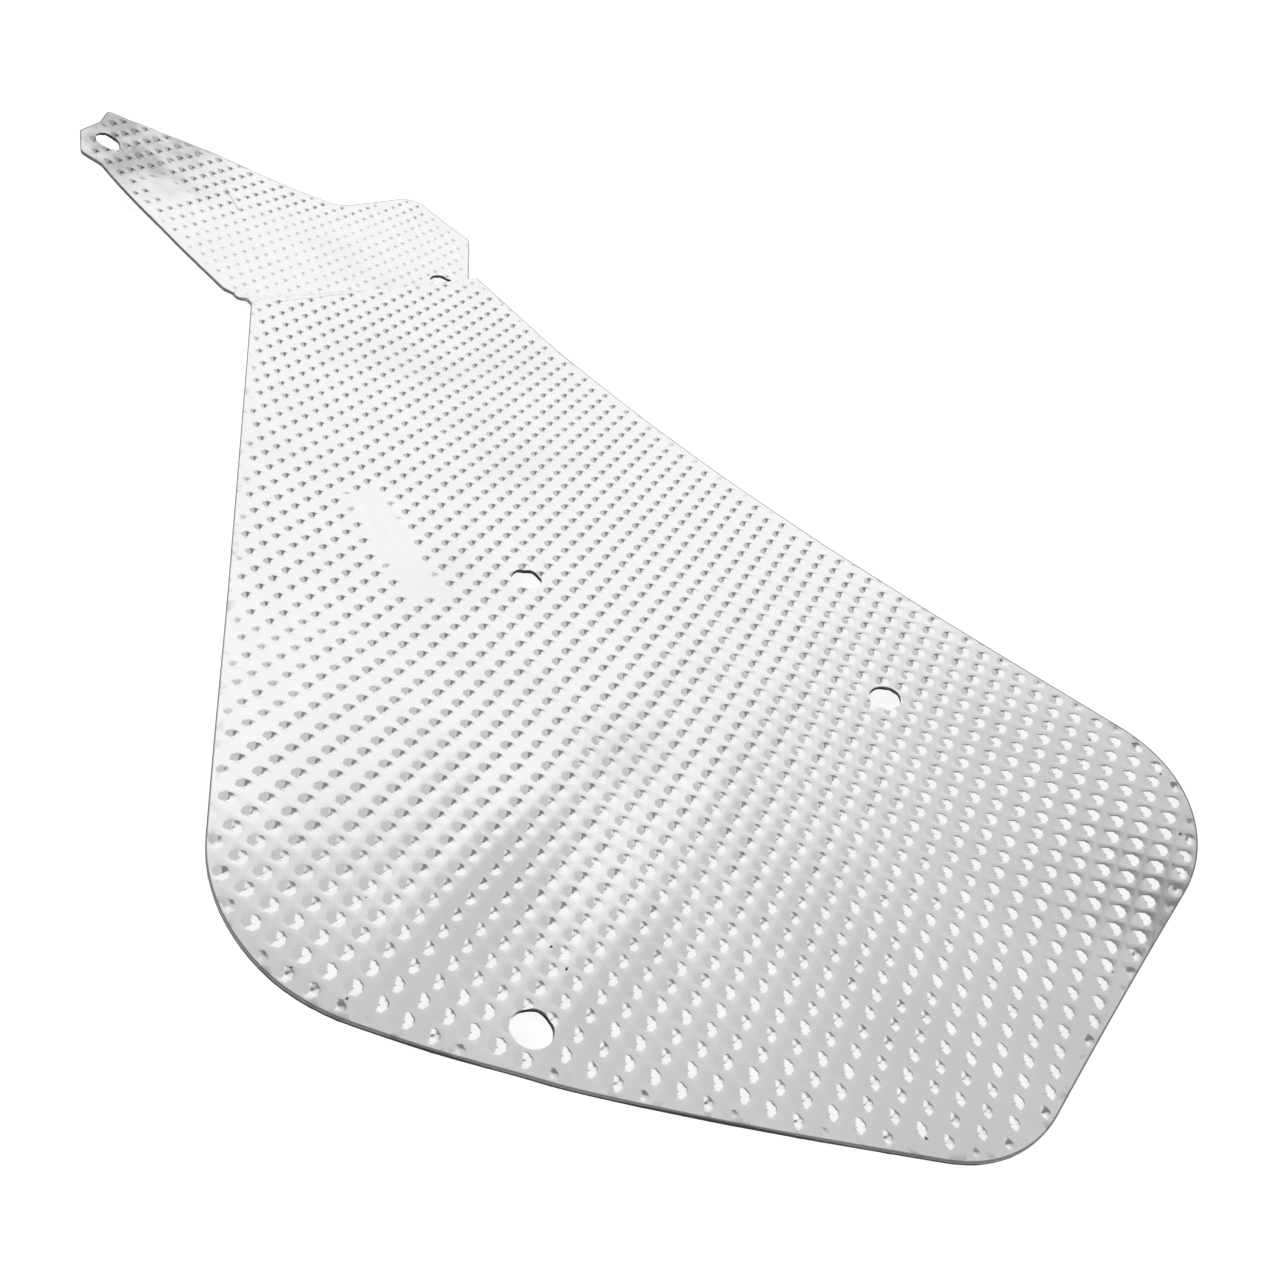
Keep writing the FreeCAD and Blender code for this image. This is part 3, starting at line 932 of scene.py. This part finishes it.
class Effect(Enum):
    """Surface effects that the finishes share, with their input and outputs."""

    ROLLED_GRAIN = ("rolled_grain", "Scale", ("Height", "Streak"))
    HANDLING = ("handling_marks", "Amount", ("Smudge", "Scuff"))
    RIM_WEAR_AND_SHADOW = ("rim_wear_and_shadow", "Reach", ("Mask", "PaintedRimShadow"))


@dataclass
class EffectSet:
    """The shared effects, each built once as a node group."""

    groups: dict[Effect, bpy.types.NodeTree] = field(default_factory=dict)

    def start(self, effect: Effect) -> tuple[Bench, Socket, bpy.types.Node]:
        """Make an empty group.

        Args:
            effect: Which effect.
        Returns:
            A bench on its tree, its input socket and its output node.
        """
        name, given, results = effect.value
        tree = bpy.data.node_groups.new(name, "ShaderNodeTree")
        tree.interface.new_socket(name=given, in_out="INPUT", socket_type="NodeSocketFloat")
        for result in results:
            tree.interface.new_socket(name=result, in_out="OUTPUT", socket_type="NodeSocketFloat")
        self.groups[effect] = tree
        bench = Bench(tree)
        source = bench.add("NodeGroupInput").outputs[given]
        return bench, source, bench.add("NodeGroupOutput")

    def build(self) -> None:
        """Build every effect."""
        self.rolled_grain()
        self.handling_marks()
        self.rim_wear_and_shadow()

    def rolled_grain(self) -> None:
        """Fine lines along the sheet, left by the rolls."""
        bench, scale, result = self.start(Effect.ROLLED_GRAIN)
        fine = bench.noise(scale, 4.0, (0.05, 1.0, 1.0))
        broad = bench.noise(bench.times(scale, 0.12), 2.0, (0.12, 1.0, 1.0))
        bench.feed(result.inputs["Height"], fine)
        bench.feed(result.inputs["Streak"], bench.change(broad, 0.32, 0.68))

    def handling_marks(self) -> None:
        """Soft smudges where the sheet was held, and short scuffs."""
        bench, amount, result = self.start(Effect.HANDLING)
        smudge = bench.change(bench.noise(22.0, 4.0), 0.46, 0.70)
        patch = bench.change(bench.noise(60.0, 2.0), 0.55, 0.72)
        lines = bench.change(bench.noise(420.0, 3.0, (0.1, 1.4, 1.0)), 0.60, 0.72)
        bench.feed(result.inputs["Smudge"], bench.times(smudge, amount))
        scuff = bench.times(bench.times(patch, lines), amount)
        bench.feed(result.inputs["Scuff"], scuff)

    def rim_wear_and_shadow(self) -> None:
        """Nicks and rubbing along the cut edge, within a reach in millimetres, and a painted shadow line
        just in from the edge.
        """
        bench, reach, result = self.start(Effect.RIM_WEAR_AND_SHADOW)
        near = bench.change(bench.sum("DIVIDE", bench.measure("rim"), reach), 0.0, 1.0, 1.0, 0.0)
        chips = bench.change(bench.noise(260.0, 5.0), 0.54, 0.66)
        bench.feed(result.inputs["Mask"], bench.times(near, chips))
        # Painted shadow: a thin dark line along the cut edge, full within 0.15 mm and gone by 0.42 mm.
        painted_rim_shadow = bench.change(bench.measure("rim"), 0.15, 0.42, 1.0, 0.0)
        bench.feed(result.inputs["PaintedRimShadow"], painted_rim_shadow)


@dataclass(frozen=True)
class Spot:
    """A round mark on the upper face."""

    x: float
    y: float
    radius: float

    @property
    def middle(self) -> Vector:
        """Middle of the mark in plan, in metres."""
        return Vector((self.x, self.y, 0.0)) * MM


@dataclass(frozen=True)
class Scratch:
    """A fine straight line on the upper face. Some are scratch marks; those along the joggle are painted
    shade in its creases.
    """

    start: Place
    end: Place
    half_width: float


def start_material(name: str) -> tuple[Material, Bench, bpy.types.Node]:
    """Make a material.

    Args:
        name: Its name.
    Returns:
        The material, a bench on its node tree and its shader.
    """
    material = bpy.data.materials.new(name)
    material.use_nodes = True
    return material, Bench(material.node_tree), material.node_tree.nodes["Principled BSDF"]


@dataclass(frozen=True)
class RolledFace:
    """Bright rolled aluminium, smudged by hands, with specks and scratch marks, a painted dark reflection on
    the tip of the tab, painted shade along the creases of the joggle and a painted shadow line along the cut
    edge.

    Attributes:
        dull: Colour where it was held, and along the streaks left by the rolls.
        dirt: Colour of the specks.
        worn: Colour of metal worn by rubbing, of the scratch marks and of the painted shade along the
            creases of the joggle.
        painted_reflection_reach: Where the painted reflection on the tip is full and where it ends, as
            shares of its radius.
    """

    name: str = "rolled_aluminium"
    bright: Colour = (0.925, 0.93, 0.938, 1.0)
    dull: Colour = (0.87, 0.88, 0.895, 1.0)
    dirt: Colour = (0.03, 0.03, 0.032, 1.0)
    worn: Colour = (0.45, 0.46, 0.48, 1.0)
    # Painted shadow: near-black colour of the thin line along the cut edge.
    painted_rim_shadow: Colour = (0.13, 0.13, 0.135, 1.0)
    # Painted reflection: grey of the tip of the tab.
    painted_reflection_grey: Colour = (0.50, 0.505, 0.52, 1.0)
    roughness: float = 0.11
    smudge_roughness: float = 0.05
    scuff_roughness: float = 0.12
    rubbed_roughness: float = 0.45
    speck_roughness: float = 0.7
    grain_scale: float = 2600.0
    wear_reach: float = 2.2
    streak_share: float = 0.5
    wear_share: float = 0.6
    scratch_and_fold_shade_share: float = 0.8
    painted_rim_shadow_share: float = 0.85
    rubbed_relief: float = 1.5
    relief_strength: float = 0.25
    relief_depth: float = 0.02
    # Painted reflection: the crumpled tip of the tab is painted grey where it would mirror a dark thing.
    painted_tip_reflection: Spot = Spot(212.0, 46.0, 28.0)
    painted_reflection_reach: Span = (0.35, 1.7)
    speck_reach: Span = (0.6, 1.1)
    specks: tuple[Spot, ...] = (
        Spot(-129.6, 80.5, 0.30),
        Spot(-139.7, 97.8, 0.36),
        Spot(-147.8, 91.0, 0.28),
        Spot(-148.9, 50.7, 0.34),
        Spot(-154.4, 50.3, 0.40),
        Spot(-153.2, -96.7, 0.36),
        Spot(-169.9, -101.9, 0.34),
        Spot(-184.4, -92.4, 0.40),
        Spot(-189.2, -84.9, 0.34),
        Spot(-201.5, -54.2, 0.36),
        Spot(-210.2, 6.0, 0.36),
    )
    scratches_and_fold_shade: tuple[Scratch, ...] = (
        Scratch(Place(189.3, 12.1), Place(175.5, 11.4), 0.35),
        Scratch(Place(-199.0, -69.0), Place(-204.5, -61.0), 0.30),
        # Painted shade: the last three lines lie along the creases of the joggle and paint the shade in
        # them.
        Scratch(Place(107.0, 25.6), Place(110.2, -14.7), 0.22),
        Scratch(Place(100.9, 23.1), Place(108.4, -10.8), 0.22),
        Scratch(Place(102.5, 28.0), Place(111.5, -20.0), 0.18),
    )

    def specks_mask(self, bench: Bench, plan: Socket) -> Socket:
        """Mask of the specks, 1 on a speck."""
        mask = 0.0
        ragged = bench.change(bench.noise(1800.0, 2.0), 0.3, 0.7, 0.5, 1.9)
        for speck in self.specks:
            reach = bench.times(bench.distance(plan, speck.middle), ragged)
            full, end = (share * speck.radius * MM for share in self.speck_reach)
            mask = bench.most(bench.change(reach, full, end, 1.0, 0.0), mask)
        return mask

    def painted_reflection_mask(self, bench: Bench, plan: Socket) -> Socket:
        """Mask of the painted reflection at the tip of the tab, a grey blotch standing for a dark thing
        mirrored there.
        """
        full, end = (share * self.painted_tip_reflection.radius * MM for share in self.painted_reflection_reach)
        near = bench.change(bench.distance(plan, self.painted_tip_reflection.middle), full, end, 1.0, 0.0)
        blotch = bench.change(bench.noise(90.0, 3.0), 0.35, 0.68, 0.45, 1.3)
        return bench.sum("MINIMUM", bench.times(near, blotch), 1.0)

    def scratch_and_fold_shade_mask(self, bench: Bench, plan: Socket) -> Socket:
        """Mask of the scratch marks and of the painted shade along the creases, 1 on a line."""
        mask = 0.0
        for scratch in self.scratches_and_fold_shade:
            start = Vector((scratch.start.x, scratch.start.y, 0.0)) * MM
            way = Vector((scratch.end.x, scratch.end.y, 0.0)) * MM - start
            offset = bench.vector("SUBTRACT", plan, start).outputs["Vector"]
            share = bench.along(offset, way / way.length_squared)
            foot = bench.add("ShaderNodeVectorMath", operation="SCALE")
            foot.inputs[0].default_value = way
            bench.feed(foot.inputs["Scale"], bench.sum("MINIMUM", bench.most(share, 0.0), 1.0))
            gap = bench.distance(offset, foot.outputs["Vector"])
            width = scratch.half_width * MM
            mask = bench.most(bench.change(gap, 0.3 * width, width, 1.0, 0.0), mask)
        return mask

    def material(self, effects: EffectSet) -> Material:
        """Build the finish.

        Args:
            effects: The shared effects.
        Returns:
            The material.
        """
        material, bench, shader = start_material(self.name)
        grain = bench.effect(effects.groups[Effect.ROLLED_GRAIN], Scale=self.grain_scale)
        marks = bench.effect(effects.groups[Effect.HANDLING], Amount=1.0)
        rim_wear_and_shadow_node = bench.effect(effects.groups[Effect.RIM_WEAR_AND_SHADOW], Reach=self.wear_reach)
        plan = bench.plan()
        specks = self.specks_mask(bench, plan)
        scratches_and_fold_shade = bench.times(self.scratch_and_fold_shade_mask(bench, plan), self.scratch_and_fold_shade_share)
        streak = bench.times(grain.outputs["Streak"], self.streak_share)
        dull = bench.most(marks.outputs["Smudge"], streak)
        colour = bench.tint(dull, self.bright, self.dull)
        # Painted reflection: grey blotch on the tip of the tab that stands for a dark thing mirrored there.
        colour = bench.tint(self.painted_reflection_mask(bench, plan), colour, self.painted_reflection_grey)
        wear_and_painted_shade = bench.times(rim_wear_and_shadow_node.outputs["Mask"], self.wear_share)
        # Scratch marks and painted shade along the creases of the joggle, in the worn colour.
        wear_and_painted_shade = bench.most(wear_and_painted_shade, scratches_and_fold_shade)
        colour = bench.tint(wear_and_painted_shade, colour, self.worn)
        # Painted shadow: darkens the face in a thin line along the cut edge.
        painted_rim_shadow = bench.times(rim_wear_and_shadow_node.outputs["PaintedRimShadow"], self.painted_rim_shadow_share)
        colour = bench.tint(painted_rim_shadow, colour, self.painted_rim_shadow)
        bench.feed(shader.inputs["Base Color"], bench.tint(specks, colour, self.dirt))
        bench.feed(shader.inputs["Metallic"], bench.sum("SUBTRACT", 1.0, specks))
        wear_and_painted_shade = bench.most(wear_and_painted_shade, rim_wear_and_shadow_node.outputs["PaintedRimShadow"])
        rough = bench.times(marks.outputs["Smudge"], self.smudge_roughness)
        rough = bench.sum("ADD", rough, self.roughness)
        rough = bench.sum("ADD", rough, bench.times(marks.outputs["Scuff"], self.scuff_roughness))
        rough = bench.most(rough, bench.times(wear_and_painted_shade, self.rubbed_roughness))
        rough = bench.most(rough, bench.times(specks, self.speck_roughness))
        bench.feed(shader.inputs["Roughness"], rough)
        sunk = bench.times(wear_and_painted_shade, self.rubbed_relief)
        relief = bench.sum("SUBTRACT", grain.outputs["Height"], sunk)
        normal = bench.bump(relief, self.relief_strength, self.relief_depth * MM)
        bench.feed(shader.inputs["Normal"], normal)
        return material


@dataclass(frozen=True)
class CutEdge:
    """Sheared edge in near-black colours that paint the shade on it: lighter where the blade cut, darker and
    rough where the sheet tore.

    Attributes:
        sheared: Colour of the cut band, next to the upper face, darkened as painted shade.
        torn: Colour of the torn band below it, darker still as painted shade.
        torn_from: Where the torn band starts and is full, as shares of the thickness.
        roughness: Roughness of the cut band and of the torn one.
    """

    name: str
    sheared: Colour
    torn: Colour
    torn_from: Span = (0.65, 0.75)
    ragged_share: float = 0.3
    stain_share: float = 0.5
    roughness: Span = (0.35, 0.6)
    grain_scale: float = 900.0
    handling: float = 0.8
    wear_reach: float = 2.0
    relief_strength: float = 0.5
    relief_depth: float = 0.05

    def material(self, effects: EffectSet) -> Material:
        """Build the finish.

        Args:
            effects: The shared effects.
        Returns:
            The material.
        """
        material, bench, shader = start_material(self.name)
        grain = bench.effect(effects.groups[Effect.ROLLED_GRAIN], Scale=self.grain_scale)
        marks = bench.effect(effects.groups[Effect.HANDLING], Amount=self.handling)
        rim_wear_and_shadow_node = bench.effect(effects.groups[Effect.RIM_WEAR_AND_SHADOW], Reach=self.wear_reach)
        ragged = bench.times(bench.noise(500.0, 3.0, (1.0, 1.0, 0.3)), self.ragged_share)
        torn = bench.change(bench.sum("ADD", ragged, bench.measure("through")), *self.torn_from)
        grime = bench.most(marks.outputs["Smudge"], rim_wear_and_shadow_node.outputs["Mask"])
        colour = bench.tint(torn, self.sheared, self.torn)
        colour = bench.tint(bench.times(grime, self.stain_share), colour, self.torn)
        bench.feed(shader.inputs["Base Color"], colour)
        shader.inputs["Metallic"].default_value = 1.0
        bench.feed(shader.inputs["Roughness"], bench.blend(torn, *self.roughness))
        normal = bench.bump(grain.outputs["Height"], self.relief_strength, self.relief_depth * MM)
        bench.feed(shader.inputs["Normal"], normal)
        return material


# Painted shade: near-black colours stand for the shade on the cut edge and, darker still, on the walls of
# the holes.
SHADED_CUT_EDGE = CutEdge("cut_edge_painted_shade", (0.17, 0.172, 0.178, 1.0), (0.04, 0.04, 0.042, 1.0))
SHADED_HOLE_WALL = CutEdge("hole_wall_painted_shade", (0.10, 0.10, 0.105, 1.0), (0.03, 0.03, 0.032, 1.0))


@dataclass(frozen=True)
class Studio:
    """White surroundings, floor and camera.

    Attributes:
        eye: Place of the camera, in millimetres.
        right: Direction to the right of the picture.
        down: Direction down the picture.
        lens: Focal length, in millimetres.
        wall_level: Brightness of the room that the metal mirrors.
        grey_way: Direction of the grey patch; grey_reach gives the cosines where it starts and is full.
        wall_side: Direction away from the grey end of the room, which lies past wall_end.
        dark_way: Direction of the darker spot, with its reach and how much darker it is.
        floor_glow: Glow of the floor where it is seen or mirrored.
    """

    eye: Triple = (-248.184, 144.832, 188.291)
    right: Triple = (-0.50408, -0.82862, 0.24351)
    down: Triple = (-0.64097, 0.16996, -0.74851)
    lens: float = 32.84
    sensor_width: float = 36.0
    nearest: float = 5.0
    wall_level: float = 1.0
    grey_level: float = 0.62
    grey_way: Triple = (0.272, -0.279, 0.921)
    grey_reach: Span = (0.890, 1.005)
    wall_side: Triple = (0.393, 0.915, -0.086)
    wall_end: Span = (-0.468, -0.332)
    dark_way: Triple = (0.165, -0.156, 0.974)
    dark_reach: Span = (0.960, 0.990)
    dark_share: float = 0.68
    floor_size: float = 8000.0
    floor_colour: Colour = (0.9, 0.9, 0.9, 1.0)
    floor_roughness: float = 0.9
    floor_glow: float = 0.40

    def camera(self) -> None:
        """Place the camera."""
        right = Vector(self.right).normalized()
        down = Vector(self.down)
        down = (down - right * down.dot(right)).normalized()
        back = right.cross(-down)
        camera = bpy.data.cameras.new("camera")
        camera.lens = self.lens
        camera.sensor_width = self.sensor_width
        camera.clip_start = self.nearest * MM
        seat = bpy.data.objects.new("camera", camera)
        bpy.context.scene.collection.objects.link(seat)
        turn = Matrix((right, -down, back)).transposed().to_4x4()
        seat.matrix_world = Matrix.Translation(Vector(self.eye) * MM) @ turn
        bpy.context.scene.camera = seat

    def world(self) -> None:
        """White surroundings for the camera. The metal mirrors a bright room with a grey patch high up
        beyond the sheet, a darker spot above it and a grey end on the right."""
        world = bpy.data.worlds.new("surroundings")
        bpy.context.scene.world = world
        world.use_nodes = True
        bench = Bench(world.node_tree)
        background = world.node_tree.nodes["Background"]
        direction = bench.add("ShaderNodeTexCoord").outputs["Generated"]
        open_way = bench.change(bench.along(direction, self.grey_way), *self.grey_reach, 1.0, 0.0)
        side = bench.change(bench.along(direction, self.wall_side), *self.wall_end)
        toward_dark = bench.along(direction, self.dark_way)
        shade = bench.change(toward_dark, *self.dark_reach, 1.0, 1.0 - self.dark_share)
        level = bench.blend(bench.times(open_way, side), self.grey_level, self.wall_level)
        mirrored = bench.times(level, shade)
        path = bench.add("ShaderNodeLightPath")
        white = bench.most(path.outputs["Is Camera Ray"], path.outputs["Is Transmission Ray"])
        bench.feed(background.inputs["Strength"], bench.blend(white, mirrored, 1.0))
        background.inputs["Color"].default_value = WHITE

    def floor(self, level: float) -> Piece:
        """A white floor at the foot of the sheet.

        Args:
            level: Height of the floor, in metres.
        Returns:
            The floor.
        """
        clear_selection()
        bpy.ops.mesh.primitive_plane_add(size=self.floor_size * MM, location=(0.0, 0.0, level))
        floor = bpy.context.object
        floor.name = "floor"
        bpy.ops.object.transform_apply(location=True, rotation=True, scale=True)
        material, bench, shader = start_material("white_floor")
        shader.inputs["Base Color"].default_value = self.floor_colour
        shader.inputs["Roughness"].default_value = self.floor_roughness
        shader.inputs["Specular IOR Level"].default_value = 0.0
        shader.inputs["Emission Color"].default_value = WHITE
        path = bench.add("ShaderNodeLightPath")
        seen = bench.most(path.outputs["Is Camera Ray"], path.outputs["Is Glossy Ray"])
        bench.feed(shader.inputs["Emission Strength"], bench.times(seen, self.floor_glow))
        floor.data.materials.append(material)
        return floor


def main() -> None:
    """Build the sheet and its surroundings, and report them."""
    logging.basicConfig(level=logging.INFO)
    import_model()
    bpy.context.scene.view_settings.view_transform = "Standard"
    sheet = Sheet()
    effects = EffectSet()
    effects.build()
    face = RolledFace().material(effects)
    piece = sheet.build(face, SHADED_CUT_EDGE.material(effects), SHADED_HOLE_WALL.material(effects))
    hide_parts(NODE)
    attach(piece, BODY)
    LOG.info("sheet: %d faces", len(piece.data.polygons))
    lowest = float(read_points(piece)[:, 2].min())
    studio = Studio()
    studio.floor(lowest)
    studio.world()
    studio.camera()


if __name__ == "__main__":
    main()
